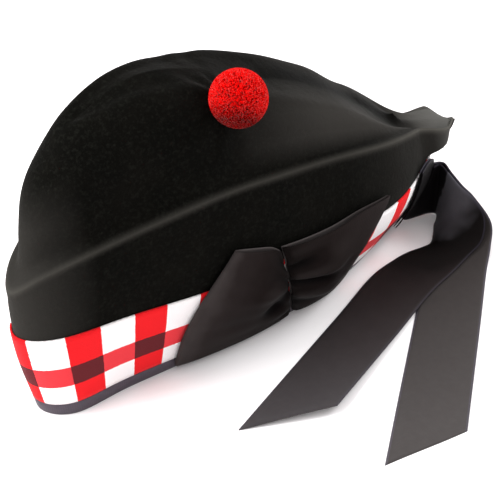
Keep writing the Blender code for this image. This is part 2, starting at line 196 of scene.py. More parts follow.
def wallSkin(turn, height, offset):
    # points that stand off the wall, square to it
    turn, height, offset = np.broadcast_arrays(turn, height, offset)
    shape = turn.shape
    turn, height, offset = turn.ravel(), height.ravel().astype(float), offset.ravel()
    step = 0.002
    here = wallPoint(turn, height)
    up = wallPoint(turn, height + step) - wallPoint(turn, np.maximum(height - step, 0))
    ahead = wallPoint(turn + step, height) - wallPoint(turn - step, height)
    return (here + unit(np.cross(ahead, up)) * offset[:, None]).reshape(shape + (3,))


turnTable = np.linspace(0, pi, 721)
heightTable = np.linspace(0, 0.080, 41)
placeTable = np.array([wallPoint(turnTable, 0 * turnTable + height)[:, 0] - capX for height in heightTable])


def wallTurn(x, height):
    # the turn on the near side at which the wall reaches a place along the cap, at a height up it
    x, height = np.broadcast_arrays(x, height)
    found = np.array([np.interp(x.ravel(), row, turnTable) for row in placeTable])
    place = height.ravel() / (heightTable[1] - heightTable[0])
    index = np.clip(np.floor(place).astype(int), 0, len(heightTable) - 2)
    pick = np.arange(x.size)
    share = place - index
    return (found[index, pick] * (1 - share) + found[index + 1, pick] * share).reshape(x.shape)


def smoothstep(low, high, value):
    share = np.clip((value - low) / (high - low), 0, 1)
    return share * share * (3 - 2 * share)


def setIn(name, value):
    # how far a value has come between the two limits that the cap's dictionary names
    return smoothstep(*cap[name], value)


def hashWave(points, scale, seed, octaves=9):
    # a smooth, repeatable unevenness: a few sine waves in fixed random directions
    random = np.random.default_rng(seed)
    total = 0
    for octave in range(octaves):
        direction = random.normal(size=3)
        direction *= scale * random.uniform(0.6, 1.7) / np.linalg.norm(direction)
        total = total + np.sin(2 * pi * points @ direction + random.uniform(0, 2 * pi))
    return total / 3


def weaveOf(across, along):
    # texture coordinates in metres, for gridObject
    return np.stack(np.broadcast_arrays(across, along), -1)


def gridNormals(rows):
    normals = np.cross(np.roll(rows, -1, 1) - np.roll(rows, 1, 1), np.gradient(rows, axis=0))
    return normals / np.maximum(np.linalg.norm(normals, axis=-1, keepdims=True), 1e-12)


def addObject(name, data):
    thing = bpy.data.objects.new(name, data)
    bpy.context.scene.collection.objects.link(thing)
    return thing


def gridObject(name, rows, uv, closed=False):
    # a mesh through rows of points
    count, columns = rows.shape[:2]
    mesh = bpy.data.meshes.new(name)
    across = columns if closed else columns - 1
    first, second = np.meshgrid(np.arange(count - 1), np.arange(across), indexing="ij")
    first, second = first.ravel(), second.ravel()
    following = (second + 1) % columns
    corners = np.stack([first * columns + second, first * columns + following,
                        (first + 1) * columns + following, (first + 1) * columns + second], -1)
    mesh.from_pydata(rows.reshape(-1, 3).tolist(), [], corners.tolist())
    picked = np.stack([uv[first, second], uv[first, second + 1], uv[first + 1, second + 1],
                       uv[first + 1, second]], 1)
    mesh.uv_layers.new(name="Weave").data.foreach_set("uv", picked.ravel())
    mesh.shade_smooth()
    return addObject(name, mesh)


def settle(thing):
    # turns an object's modifiers into its plain mesh
    graph = bpy.context.evaluated_depsgraph_get()
    mesh = bpy.data.meshes.new_from_object(thing.evaluated_get(graph))
    thing.modifiers.clear()
    thing.data = mesh


def thicken(thing, thickness, offset):
    solid = thing.modifiers.new("Thickness", "SOLIDIFY")
    solid.thickness = thickness
    solid.offset = offset
    settle(thing)


def mergeClose(thing, distance=1e-6):
    work = bmesh.new()
    work.from_mesh(thing.data)
    bmesh.ops.remove_doubles(work, verts=work.verts, dist=distance)
    bmesh.ops.recalc_face_normals(work, faces=work.faces)
    work.to_mesh(thing.data)
    work.free()


def place(thing, material, node, slot):
    # a finished piece takes its material and stands in for a node of the part
    thing.data.materials.clear()
    thing.data.materials.append(material)
    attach(thing, "root")
    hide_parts(node)


# Materials


def addNode(tree, kind, inputs=(), **settings):
    # a node with its settings and its inputs' values or links
    node = tree.nodes.new(kind)
    for key, value in settings.items():
        setattr(node, key, value)
    for key, value in dict(inputs).items():
        feed(tree, node.inputs[key], value)
    return node


def feed(tree, socket, value):
    if isinstance(value, bpy.types.NodeSocket):
        tree.links.new(value, socket)
    else:
        socket.default_value = value


class Look:
    def __init__(self, name):
        self.material = bpy.data.materials.new(name)
        self.material.use_nodes = True
        self.tree = self.material.node_tree
        self.shader = self.tree.nodes["Principled BSDF"]

    def add(self, kind, inputs=(), **settings):
        return addNode(self.tree, kind, inputs, **settings)

    def math(self, operation, first, second=0.5, third=0.5):
        return self.add("ShaderNodeMath", {0: first, 1: second, 2: third}, operation=operation).outputs[0]

    def times(self, first, second):
        return self.math("MULTIPLY", first, second)

    def mix(self, share, first, second):
        return self.add("ShaderNodeMix", {0: share, 6: first, 7: second}, data_type="RGBA").outputs[2]

    def noise(self, vector, scale, detail=3, roughness=0.55):
        return self.add("ShaderNodeTexNoise", {"Vector": vector, "Scale": scale, "Detail": detail,
                                               "Roughness": roughness}).outputs["Fac"]

    def ramp(self, value, start, end, top=1.0):
        # rises from nothing at start to top at end
        return self.add("ShaderNodeMapRange", {0: value, 1: start, 2: end, 3: 0.0, 4: top}).outputs[0]

    def tint(self, base, value, start, end, top, tone):
        return self.mix(self.ramp(value, start, end, top), base, tone)

    def bump(self, height, strength, distance, normal=None):
        inputs = {"Height": height, "Strength": strength, "Distance": distance}
        if normal:
            inputs["Normal"] = normal
        return self.add("ShaderNodeBump", inputs).outputs["Normal"]

    def position(self):
        return self.add("ShaderNodeTexCoord").outputs["Object"]

    def weave(self):
        split = self.add("ShaderNodeSeparateXYZ", {0: self.add("ShaderNodeUVMap", uv_map="Weave").outputs[0]})
        return split.outputs[0], split.outputs[1]

    def surface(self, **values):
        for key, value in values.items():
            feed(self.tree, self.shader.inputs[key.replace("_", " ")], value)


felt = {
    "mottle": 55.0, "fleck": 520.0, "grain": 1300.0, "nap": 210.0, "rough": 0.7,
    "napBump": (0.45, 0.0008), "grainBump": (0.6, 0.0003),  # strength and distance
    "dark": (0.0012, 0.0014, 0.0012, 1), "light": (0.0040, 0.0036, 0.0028, 1), "mottleShare": 1.2,
    # where each tone sets in, where it is full, its share there and its colour: flecks and grains by their
    # noise, the next four by the place along the cap, and the rest by the way up from the fold; all but the
    # flecks and grains are painted light and shade
    "flecks": (0.50, 0.72, 0.8, (0.0085, 0.0088, 0.0070, 1)),
    "grains": (0.56, 0.78, 0.6, (0.014, 0.0135, 0.012, 1)),
    "back": (0.02, 0.17, 0.60), "prow": (-0.126, -0.166, 0.95), "crownBack": (-0.05, 0.02, 0.85),
    "tip": (0.118, 0.165, 0.85, (0.120, 0.118, 0.110, 1)),
    "onCrown": (0.056, 0.030), "offWall": (0.004, 0.016), "paintedLightTone": (0.032, 0.030, 0.027, 1),
    "valley": (0.050, 0.075, 1.1), "valleyTone": (0.0006, 0.0006, 0.0006, 1),
    "foldHighlight": (0.0040, 0.0), "foldHighlightLeast": 0.38, "foldHighlightTone": (0.075, 0.071, 0.062, 1),
}


def feltLook():
    look = Look("felt")
    place = look.position()
    fleck = look.noise(place, felt["fleck"], 4, felt["rough"])
    grain = look.noise(place, felt["grain"], 5, felt["rough"])
    mottle = look.times(look.noise(place, felt["mottle"], 4), felt["mottleShare"])
    base = look.mix(mottle, felt["dark"], felt["light"])
    base = look.tint(base, fleck, *felt["flecks"])
    base = look.tint(base, grain, *felt["grains"])
    # painted light: the felt is made lighter towards both ends and on the crown's back half
    along = look.add("ShaderNodeSeparateXYZ", {0: place}).outputs[0]
    aboveFold = look.weave()[1]
    back = look.ramp(along, *felt["back"])
    crownBack = look.ramp(along, *felt["crownBack"])
    paintedLight = look.math("MAXIMUM", back, look.ramp(along, *felt["prow"]))
    onTop = look.times(crownBack, look.ramp(aboveFold, *felt["offWall"]))
    paintedLight = look.math("MAXIMUM", paintedLight, onTop)
    paintedLight = look.times(paintedLight, look.ramp(aboveFold, *felt["onCrown"]))
    base = look.mix(paintedLight, base, felt["paintedLightTone"])
    # painted shade keeps the valley beside the crest black, and painted highlights make the tip and the fold's
    # edge the lightest
    valley = look.times(look.ramp(aboveFold, *felt["valley"]), crownBack)
    base = look.mix(valley, base, felt["valleyTone"])
    # painted highlight: the back tip is made lighter
    base = look.tint(base, along, *felt["tip"])
    # painted highlight along the fold's edge, stronger towards the back
    foldHighlight = look.ramp(look.math("ABSOLUTE", aboveFold), *felt["foldHighlight"])
    foldHighlight = look.times(look.times(foldHighlight, foldHighlight), look.math("ADD", back, felt["foldHighlightLeast"]))
    base = look.mix(foldHighlight, base, felt["foldHighlightTone"])
    nap = look.bump(look.noise(place, felt["nap"], 4), *felt["napBump"])
    normal = look.bump(look.math("ADD", grain, fleck), *felt["grainBump"], nap)
    look.surface(Base_Color=base, Roughness=0.95, Specular_IOR_Level=0.02, Sheen_Weight=0.05,
                 Sheen_Roughness=0.30, Sheen_Tint=(0.95, 0.95, 0.93, 1), Normal=normal)
    return look.material


dicing = {
    # the checks' repeat and the white one's width, the rows' limits as shares of the height, and the twill
    "repeat": 0.0338, "white": 0.0173, "start": 0.0066, "middleRow": 0.29, "topRow": 0.58, "height": 0.0435,
    "thread": 0.0008, "slant": 0.35, "rise": 0.7, "fray": 0.0007, "frayScale": 900.0, "fuzzScale": 1800.0,
    "whiteTone": (0.92, 0.91, 0.91, 1), "redTone": (0.78, 0.008, 0.012, 1),
    "darkTone": (0.085, 0.010, 0.013, 1), "overWhiteTone": (0.74, 0.040, 0.050, 1),
    "shadeTone": (0.20, 0.01, 0.015, 1), "shadeShare": 0.42, "twillShare": 0.30, "fuzzShare": 0.24,
    "twillBump": (0.35, 0.00025),
}


def dicingLook():
    look = Look("dicing")
    place = look.position()
    run, height = look.weave()
    fray = look.times(look.math("SUBTRACT", look.noise(place, dicing["frayScale"], 2), 0.5), dicing["fray"])
    run = look.math("ADD", run, fray)
    height = look.math("ADD", height, fray)
    column = look.math("WRAP", look.math("SUBTRACT", run, dicing["start"]), dicing["repeat"], 0.0)
    isWhite = look.math("LESS_THAN", column, dicing["white"])
    aboveBottom = look.math("GREATER_THAN", height, dicing["height"] * dicing["middleRow"])
    belowTop = look.math("LESS_THAN", height, dicing["height"] * dicing["topRow"])
    isMiddle = look.times(aboveBottom, belowTop)
    outer = look.mix(isWhite, dicing["redTone"], dicing["whiteTone"])
    inner = look.mix(isWhite, dicing["darkTone"], dicing["overWhiteTone"])
    colour = look.mix(isMiddle, outer, inner)
    slanted = look.math("SUBTRACT", height, look.times(run, dicing["slant"]))
    threadRun = look.math("PINGPONG", look.math("ADD", run, height), dicing["thread"] / 2)
    threadRise = look.math("PINGPONG", slanted, dicing["thread"] * dicing["rise"])
    twill = look.math("DIVIDE", look.math("ADD", threadRun, threadRise), dicing["thread"])
    fuzz = look.noise(place, dicing["fuzzScale"], 3)
    shade = look.math("ADD", look.times(twill, dicing["twillShare"]), look.times(fuzz, dicing["fuzzShare"]))
    colour = look.mix(look.math("SUBTRACT", dicing["shadeShare"], shade), colour, dicing["shadeTone"])
    normal = look.bump(look.math("ADD", twill, fuzz), *dicing["twillBump"])
    look.surface(Base_Color=colour, Roughness=0.85, Specular_IOR_Level=0.1, Sheen_Weight=0.03, Normal=normal)
    return look.material


ribbon = {
    "rib": 0.0009, "slubScale": 260.0, "uneven": 0.020, "unevenScale": 60.0, "ribShare": 0.35, "slubShare": 0.6,
    "softScale": 45.0, "softBump": (0.25, 0.0015), "ribBump": (0.30, 0.00012), "slubBump": 0.4,
    "selvedge": 0.0010, "half": 0.01775,
    # how deep and how high a crease is where its tone sets in and is full, as shares of the deepest: painted
    # shade in the sunk creases and a painted highlight on the raised folds
    "sunk": (-0.12, -0.80, 0.90, (0.0008, 0.0004, 0.0004, 1)),
    "raised": (0.10, 0.70, 0.45, (0.030, 0.025, 0.024, 1)),
}


def ribbonLook(name, tones, roughness, gloss, rib=ribbon["rib"], edge=None, creased=False):
    # tones are a darker and a lighter colour at places along the ribbon, their change along it being painted
    # shade and painted reflection, and edge is the selvedge's share and colour
    look = Look(name)
    across, along = look.weave()
    place = look.position()
    ribs = look.math("DIVIDE", look.math("PINGPONG", along, rib / 2), rib / 2)
    slub = look.noise(place, ribbon["slubScale"], 3)
    uneven = look.math("SUBTRACT", look.noise(place, ribbon["unevenScale"], 2), 0.5)
    shifted = look.math("ADD", along, look.times(uneven, ribbon["uneven"]))
    grain = look.math("ADD", look.times(ribs, ribbon["ribShare"]), look.times(slub, ribbon["slubShare"]))
    base = None
    for index, (at, darker, lighter) in enumerate(tones):
        here = look.mix(grain, (*darker, 1), (*lighter, 1))
        base = look.mix(look.ramp(shifted, tones[index - 1][0], at), base, here) if index else here
    if edge:
        fromMiddle = look.math("ABSOLUTE", look.math("SUBTRACT", across, ribbon["half"]))
        atEdge = look.math("GREATER_THAN", fromMiddle, ribbon["half"] - ribbon["selvedge"])
        base = look.mix(atEdge, base, look.mix(edge[0], base, (*edge[1], 1)))
    # painted shade in the bow's creases and painted highlight on its raised folds, by the Crease attribute
    if creased:
        crease = look.add("ShaderNodeAttribute", attribute_name="Crease").outputs["Fac"]
        base = look.tint(base, crease, *ribbon["sunk"])
        base = look.tint(base, crease, *ribbon["raised"])
    soft = look.bump(look.noise(place, ribbon["softScale"], 3), *ribbon["softBump"])
    relief = look.math("ADD", ribs, look.times(slub, ribbon["slubBump"]))
    look.surface(Base_Color=base, Roughness=roughness, Specular_IOR_Level=gloss, Sheen_Weight=0.01,
                 Normal=look.bump(relief, *ribbon["ribBump"], soft))
    return look.material


wool = {
    "scale": 420.0, "darkTone": (0.72, 0.0010, 0.0008, 1), "lightTone": (0.86, 0.004, 0.003, 1),
    # the shade of the underside: its direction, and how far from the middle it sets in and is full
    "down": (-0.453, -0.375, -0.810), "shade": (0.0040, 0.0120, 0.85, (0.06, 0.0004, 0.0004, 1)),
    "blur": 0.003, "bump": (0.2, 0.0003),
}


def woolLook():
    look = Look("wool")
    place = look.position()
    tone = look.noise(place, wool["scale"], 3)
    base = look.mix(tone, wool["darkTone"], wool["lightTone"])
    low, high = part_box("toorie")
    sunk = look.add("ShaderNodeVectorMath", {0: place, 1: wool["down"]}, operation="DOT_PRODUCT").outputs[1]
    sunk = look.math("SUBTRACT", sunk, float((low + high) / 2 @ Vector(wool["down"])))
    sunk = look.math("ADD", sunk, look.times(tone, wool["blur"]))
    base = look.tint(base, sunk, *wool["shade"])
    look.surface(Base_Color=base, Roughness=0.9, Specular_IOR_Level=0.02, Sheen_Weight=0.16,
                 Sheen_Roughness=0.3, Sheen_Tint=(1.0, 0.60, 0.56, 1), Subsurface_Weight=0.2,
                 Subsurface_Scale=1.0, Subsurface_Radius=(0.0020, 0.0002, 0.0002),
                 Normal=look.bump(tone, *wool["bump"]))
    return look.material


looks = {
    "felt": feltLook(),
    "dicing": dicingLook(),
    # painted shadow near the cap, a painted sky reflection on the raised panel, painted shade beyond it, then
    # lighter towards the end as painted reflection
    "upperRibbon": ribbonLook("ribbon", (
        (.000, (.0012, .0006, .0010), (.0022, .0012, .0020)),
        (.0565, (.0014, .0008, .0012), (.0026, .0016, .0022)),
        (.0585, (.062, .060, .068), (.086, .083, .092)),
        (.076, (.044, .042, .048), (.062, .058, .064)),
        (.091, (.0014, .0006, .0006), (.0026, .0014, .0012)),
        (.122, (.0025, .0013, .0012), (.0045, .0026, .0024)),
        (.150, (.010, .0070, .0070), (.016, .011, .011)),
        (.210, (.022, .018, .018), (.034, .028, .029)),
        (.290, (.040, .036, .038), (.060, .055, .057)),
    ), roughness=0.60, gloss=0.06, edge=(.12, (.09, .08, .12))),
    # painted shadow near the cap, then lighter towards the end as painted reflection
    "lowerRibbon": ribbonLook("ribbon_under", (
        (.000, (.0014, .0010, .0012), (.0024, .0018, .0022)),
        (.085, (.0030, .0020, .0020), (.0050, .0040, .0040)),
        (.110, (.020, .016, .015), (.030, .025, .024)),
        (.260, (.042, .037, .036), (.062, .056, .055)),
    ), roughness=0.60, gloss=0.10, edge=(.28, (.12, .11, .15))),
    # painted shade near the pinch, then lighter towards the loops' ends as painted reflection of the floor
    "bow": ribbonLook("bow", (
        (.000, (.0030, .0018, .0016), (.0060, .0040, .0036)),
        (.024, (.0060, .0038, .0034), (.0110, .0072, .0068)),
        (.050, (.0120, .0085, .0080), (.0190, .0145, .0140)),
        (.080, (.0560, .0480, .0470), (.0800, .0700, .0690)),
    ), roughness=0.62, gloss=0.03, creased=True),
    "binding": ribbonLook("binding", (
        (.000, (.040, .031, .042), (.085, .070, .088)),
    ), roughness=0.55, gloss=0.20, rib=0.0011),
    "wool": woolLook(),
}
print("materials made", flush=True)

# The felt bonnet

toorie = {
    # its place along the cap and its level on the crown, and how deep it sits
    "x": -0.034, "level": 9.25, "sink": 0.0035, "radius": 0.0138, "core": 0.0120,
    "strands": 6400, "strand": 0.0030, "thickness": 0.00036, "narrowing": 0.75, "lean": 0.38, "turn": 3.1,
    "least": 0.88, "most": 1.04, "curl": 0.0018, "curlScale": 230.0, "seed": 4,
}


def crownSeat(step=0.01, margin=0.2, fine=1500):
    # where the toorie sits on the near side of the crown, and the direction out from it
    table = np.linspace(margin, pi - margin, fine)
    line = smoothAlong(levelPoints(table), [toorie["level"]])[0]
    turn = np.interp(toorie["x"] + capX, line[:, 0], table)
    near = np.array([turn - step, turn, turn + step])
    spot = smoothAlong(levelPoints(near), toorie["level"] + np.array((-step, 0, step)))
    away = np.cross(spot[1, 2] - spot[1, 0], spot[2, 1] - spot[0, 1])
    return spot[1, 1], away / np.linalg.norm(away)


toorie["seat"], toorie["away"] = crownSeat()


def arcAlong(row):
    # how far each point of a closed row lies from the first, with the whole girth last
    closed = np.concatenate([row, row[:1]])
    return np.concatenate([[0], np.cumsum(np.linalg.norm(np.diff(closed, axis=0), axis=-1))])


def capRows():
    turn = 2 * pi * np.arange(cap["columns"]) / cap["columns"]
    levels = levelPoints(turn)
    fold, last = cap["foldLevel"], len(cap["levels"]) - 1
    places = np.concatenate([np.linspace(0, fold, cap["wallRows"] + 1),
                             np.linspace(fold, last, cap["crownRows"] + 1)[1:]])
    return smoothAlong(levels, places), places, turn


def soften(rows, weight, rounds):
    # evens the felt out; the crown's two sides meet in the last row, where each column meets its mirror
    mirror = -np.arange(rows.shape[1]) % rows.shape[1]
    weight[-1] = (weight[-1] + weight[-1, mirror]) / 2
    for turn in range(rounds):
        before = np.concatenate([rows[:1], rows[:-1]])
        beyond = np.concatenate([rows[1:], rows[-2:-1, mirror]])
        around = (before + beyond + np.roll(rows, 1, 1) + np.roll(rows, -1, 1)) / 4
        rows = rows + weight[..., None] * (around - rows)
    return rows


def relief(rows, places, climbed, fromFold):
    # waves of the crown, puckers that run out from the toorie's seat, and the fold's ridge
    fromMiddle = rows - capPlace
    free = setIn("offBand", climbed)
    overBow = setIn("bowAlong", np.abs(fromMiddle[..., 0])) * setIn("bowAcross", fromMiddle[..., 1])
    free += (setIn("offBow", climbed) - free) * overBow
    last = len(cap["levels"]) - 1
    free *= setIn("offTip", fromMiddle[..., 0]) * smoothstep(last, last - cap["offCrease"], places)[:, None]
    away = rows - toorie["seat"]
    reach = np.linalg.norm(away, axis=-1)
    flat = away - (away @ toorie["away"])[..., None] * toorie["away"]
    axis = np.cross(toorie["away"], (1, 0, 0))
    axis /= np.linalg.norm(axis)
    angle = np.arctan2(flat @ axis, flat @ np.cross(axis, toorie["away"]))
    wobble = cap["wobble"] * hashWave(rows, cap["wobbleScale"], cap["wobbleSeed"])
    ring = setIn("puckerFrom", reach) * setIn("puckerTo", reach)
    pucker = cap["pucker"] * ring * np.sin(cap["puckerFolds"] * angle + wobble)
    wave = cap["wave"] * hashWave(rows, cap["waveScale"], cap["waveSeed"])
    return (wave + pucker) * free + cap["ridge"] * np.exp(-(fromFold / cap["ridgeWidth"]) ** 2)


def shapeBack(rows, turn, climbed, fromFold, along, across):
    # the felt hangs over the band at the back tip
    lip = cap["lip"] * setIn("lipUp", climbed) * setIn("lipOver", fromFold) * setIn("lipRound", -np.cos(turn))
    rows = rows + lip[..., None] * (outwardAt(turn) - np.array((0, 0, cap["lipDroop"])))
    # the tip is broad, raised and blunt
    atEnd = setIn("flareFrom", along) * setIn("lipUp", climbed) * setIn("flareOver", fromFold)
    rows[..., 1] += cap["flare"] * atEnd * setIn("flareTo", along) * np.minimum(across, 0)
    rows[..., 2] += cap["tipRise"] * atEnd * setIn("tipRiseFrom", along)
    # the far crest rises, and sinks before the tip
    far = setIn("farSide", across) * setIn("farOver", fromFold)
    for x, wide, rise in cap["crestRises"]:
        rows[..., 2] += rise * far * np.exp(-((along - x) / wide) ** 2)
    rows[..., 0] -= cap["blunt"] * np.maximum(rows[..., 0] - capX - cap["tip"], 0)
    return rows


def makeBonnet():
    rows, places, turn = capRows()
    climbed = climbAlong(rows)
    fromFold = climbed - climbed[cap["wallRows"]]
    along, across = (rows - capPlace)[..., 0], (rows - capPlace)[..., 1]
    around = arcAlong(rows[cap["wallRows"]])
    uv = weaveOf(around[None, :], np.concatenate([fromFold, fromFold[:, :1]], 1))
    raised = relief(rows, places, climbed, fromFold)
    rows = rows + gridNormals(rows) * raised[..., None]
    rows = shapeBack(rows, turn, climbed, fromFold, along, across)
    rows = soften(rows, setIn("evenAlong", along) * setIn("evenOver", fromFold), cap["evenRounds"])
    bonnet = gridObject("felt_bonnet", rows, uv, closed=True)
    mergeClose(bonnet, 2e-5)
    thicken(bonnet, cap["felt"], -1)
    place(bonnet, looks["felt"], "bonnet", "felt")
    print("bonnet made,", len(bonnet.data.polygons), "faces", flush=True)


makeBonnet()

# The diced band and the binding under it

trim = {"gap": 0.0003, "slack": 0.0001, "columns": 720}
bandCloth = {"thickness": 0.0010, "rows": 16}
braid = {"height": 0.0065, "thickness": 0.0010, "edge": 0.00028}


def makeBand():
    turn = 2 * pi * np.arange(trim["columns"]) / trim["columns"]
    share = np.linspace(0, 1, bandCloth["rows"] + 1)
    start = braid["height"] + trim["gap"]
    rows = np.array([wallSkin(turn, start + dicing["height"] * s, trim["gap"]) for s in share])
    arc = arcAlong(rows[bandCloth["rows"] // 2])
    arc *= round(arc[-1] / dicing["repeat"]) * dicing["repeat"] / arc[-1]  # the last check meets the first
    uv = weaveOf(arc[None, :], dicing["height"] * share[:, None])
    band = gridObject("diced_band_weave", rows, uv, closed=True)
    thicken(band, bandCloth["thickness"], 1)
    place(band, looks["dicing"], "diced_band", "dicing")


def makeBinding():
    # the braid's profile goes up the outer face, down the felt's two faces and down the inner face
    turn = 2 * pi * np.arange(trim["columns"]) / trim["columns"]
    out, inside = trim["gap"] + trim["slack"], cap["felt"] + 2 * trim["gap"] + trim["slack"]
    up, thick, edge = braid["height"], braid["thickness"], braid["edge"]
    foot = wallPoint(turn, 0 * turn)
    away = unit((wallSkin(turn, 0.0, 1.0) - foot) * (1, 1, 0))
    ground = foot * (1, 1, 0)
    lift = np.array((0, 0, 1.0))
    profile = [
        ground + away * (out + thick - edge), ground + away * (out + thick) + lift * edge,
        wallSkin(turn, up * 0.5, out + thick), wallSkin(turn, up - edge, out + thick),
        wallSkin(turn, up, out + thick - edge), wallSkin(turn, up, out),
        ground + lift * thick + away * out, ground + lift * thick - away * inside,
        wallSkin(turn, up, -inside), wallSkin(turn, up, -inside - thick + edge),
        wallSkin(turn, up - edge, -inside - thick), ground - away * (inside + thick) + lift * edge,
        ground - away * (inside + thick - edge),
    ]
    rows = np.array(profile + profile[:1])
    climb = climbAlong(rows[:, :1])
    uv = weaveOf(climb, arcAlong(rows[0])[None, :])
    binding = gridObject("binding_braid", rows, uv, closed=True)
    mergeClose(binding)
    place(binding, looks["binding"], "edge_binding", "binding")


makeBand()
makeBinding()
print("band and binding made", flush=True)

# The bow

bow = {
    "length": 0.133, "height": 0.067, "x": -0.001, "puff": 0.006, "edgePuff": 0.35, "thickness": 0.0006,
    "columns": 72, "steps": 26, "overBand": 0.0024, "rise": 0.0016, "least": 0.0008, "width": 0.0355,
    "pinch": 0.0012, "pinchRun": 0.035, "deepest": 0.0028, "round": 9,
    # gathers: depth, how fast they fade, their count across and their drift along, and their share of the seed
    "gathers": ((0.0005, 1.4, 3.3, 0.55, 1), (0.000275, 0.8, 5.7, -0.8, 2.1)),
    "pleatFrom": (-0.05, 0.06), "pleatTo": (1.35, 0.25),
    # low x, low up, high x, high up, puff and round, as shares of the bow's length, height and puff
    "front": ((0, .075, -.130, .900, .25, 0), (-.093, .055, -.170, .960, .70, 0),
              (-.247, .055, -.236, 1.010, 1, .011), (-.417, .055, -.296, 1.050, .80, .033),
              (-.541, .060, -.329, 1.070, .30, .055)),
    "rear": ((.008, .090, -.121, .920, .25, 0), (.082, .055, .011, .890, .60, 0),
             (.187, .055, .143, .885, .90, .011), (.263, .055, .296, .925, .55, .033),
             (.302, .100, .461, .930, .20, .055)),
    # pleats out from the pinched middle: share across at the middle and at their end, the run that they
    # fade over, width across and depth; and dents: run, share across, their widths and depth
    "frontPleats": ((.80, .88, .30, .055, -.0016), (.57, .74, .40, .050, -.0014), (.42, .30, .42, .060, -.0016),
                    (.20, .14, .36, .055, .0010), (.08, .05, .40, .040, -.0010)),
    "rearPleats": ((.90, .97, .40, .045, .0008), (.72, .80, .42, .050, -.0026), (.60, .62, .62, .055, .0020),
                   (.54, .42, .66, .045, -.0034), (.34, .22, .60, .050, .0020), (.20, .10, .50, .045, -.0020)),
    "frontDents": ((.27, .30, .11, .085, -.0032), (.36, .56, .12, .10, .0016), (.62, .40, .22, .16, -.0006)),
    "rearDents": ((.45, .80, .20, .12, .0012), (.70, .45, .20, .20, -.0008)),
}


def loopRows(side, seed):
    # the face's and the back's points, and how far each point of the face is creased
    lines = np.array(bow[side], float)
    last = len(lines) - 1
    steps = np.linspace(0, last, last * bow["steps"] + 1)
    fine = smoothAlong(lines, steps)
    share = np.linspace(0, 1, bow["columns"] + 1)
    arch = np.sin(pi * share)
    along = fine[:, :1] + (fine[:, 2:3] - fine[:, :1]) * share - fine[:, 5:6] * arch
    height = bow["height"] * (fine[:, 1:2] + (fine[:, 3:4] - fine[:, 1:2]) * share)
    turn = wallTurn(bow["x"] + bow["length"] * along, height)
    puff = fine[:, 4:5] * (bow["edgePuff"] + (1 - bow["edgePuff"]) * arch)
    run = (steps / last)[:, None]
    gather = 0
    for deep, fade, across, drift, ofSeed in bow["gathers"]:
        phase = across * share + drift * run + ofSeed * seed
        gather = gather + deep * (1 - run) ** fade * np.sin(2 * pi * phase)
    face = bow["rise"] + bow["puff"] * puff + gather * arch ** 0.5
    creased = 0 * face
    for atMiddle, atEnd, fade, wide, depth in bow[side + "Pleats"]:
        line = atMiddle + (atEnd - atMiddle) * run / fade
        shape = np.exp(-((share - line) / (wide * (1 + run / fade))) ** 2)
        shape *= smoothstep(*bow["pleatTo"], run / fade) * smoothstep(*bow["pleatFrom"], run)
        creased += depth * shape
    for atRun, atShare, long, wide, depth in bow[side + "Dents"]:
        creased += depth * np.exp(-((run - atRun) / long) ** 2 - ((share - atShare) / wide) ** 2)
    creased -= bow["pinch"] * np.exp(-(run / bow["pinchRun"]) ** 2)
    faceRows = wallSkin(turn, height, bow["overBand"] + np.maximum(face + creased, bow["least"]))
    backRows = wallSkin(turn, height, bow["overBand"] + 0 * face)
    return faceRows, backRows, creased


def makeLoop(name, node, side, seed):
    face, back, creased = loopRows(side, seed)
    # the far end turns over in a soft round from the face to the back
    ahead = unit(face[-1] - face[-3])
    middle, half = (face[-1] + back[-1]) / 2, (face[-1] - back[-1]) / 2
    reach = np.linalg.norm(half, axis=-1, keepdims=True)
    turnOver = [middle + half * cos(angle) + ahead * reach * sin(angle)
                for angle in np.linspace(0, pi, bow["round"])[1:-1]]
    rows = np.concatenate([face, turnOver, back[::-1]])
    along = climbAlong(rows[:, bow["columns"] // 2, None])
    across = np.linspace(0, bow["width"], rows.shape[1])
    uv = weaveOf(across[None, :], along)
    loop = gridObject(name, rows, uv)
    # the Crease attribute carries the painted shade and highlight of the creases to the bow's material
    depth = np.zeros(rows.shape[:2])
    depth[:len(face)] = creased / bow["deepest"]
    loop.data.attributes.new("Crease", "FLOAT", "POINT").data.foreach_set("value", depth.ravel())
    thicken(loop, bow["thickness"], 0)
    place(loop, looks["bow"], node, "ribbon")


makeLoop("bow_front_loop", "cockade_front", "front", seed=0.15)
makeLoop("bow_rear_loop", "cockade_rear", "rear", seed=0.62)
print("bow made", flush=True)

# The tails

tails = {
    "width": 0.0355, "upperLength": 0.255, "lowerLength": 0.240, "cut": 0.034, "thickness": 0.0006,
    "layer": 0.0014, "spread": 0.0022, "columns": 16, "steps": 14,
    # the sewn end on the wall, and its lines' run, lift and climb as shares
    "place": 0.122, "foot": 0.0045, "rootRun": 0.033, "rootLift": 0.001, "rootClimb": 0.020, "rootLean": 0.002,
    "root": ((0, 0, .76), (.4, 0, .70), (.8, 0, .45), (1, 1.2, 0)),
    # x, y, heading, tilt, layer: the places are shares of the length from the root on the wall
    "upper": ((.0295, -.0064, 76, 92, 1), (.0468, -.0165, 74, 87, 1), (.0295, -.0432, -72, 84, 1),
              (.0095, -.0726, -75, 69, 1), (-.0046, -.1048, -59, 54, 1), (-.0156, -.1291, -40, 30, 1),
              (-.0411, -.1369, -45, 10, 1), (-.0881, -.1330, -52, 2, 1), (-.1430, -.1362, -61, 0, 1),
              (-.2450, -.1479, -71, 0, 1), (-.4124, -.1911, -76.5, 4, 0), (-.7901, -.2895, -76.5, 12, 0)),
    "lower": ((.0055, -.1384, -48, 24, 0), (-.0249, -.1580, -56, 6, 0), (-.0990, -.2013, -58.4, 0, 0),
              (-.2653, -.3068, -58.4, 0, 0), (-.5061, -.4580, -58.4, 0, 0), (-.6728, -.5634, -58.4, 0, 0)),
    "shared": 5,
}


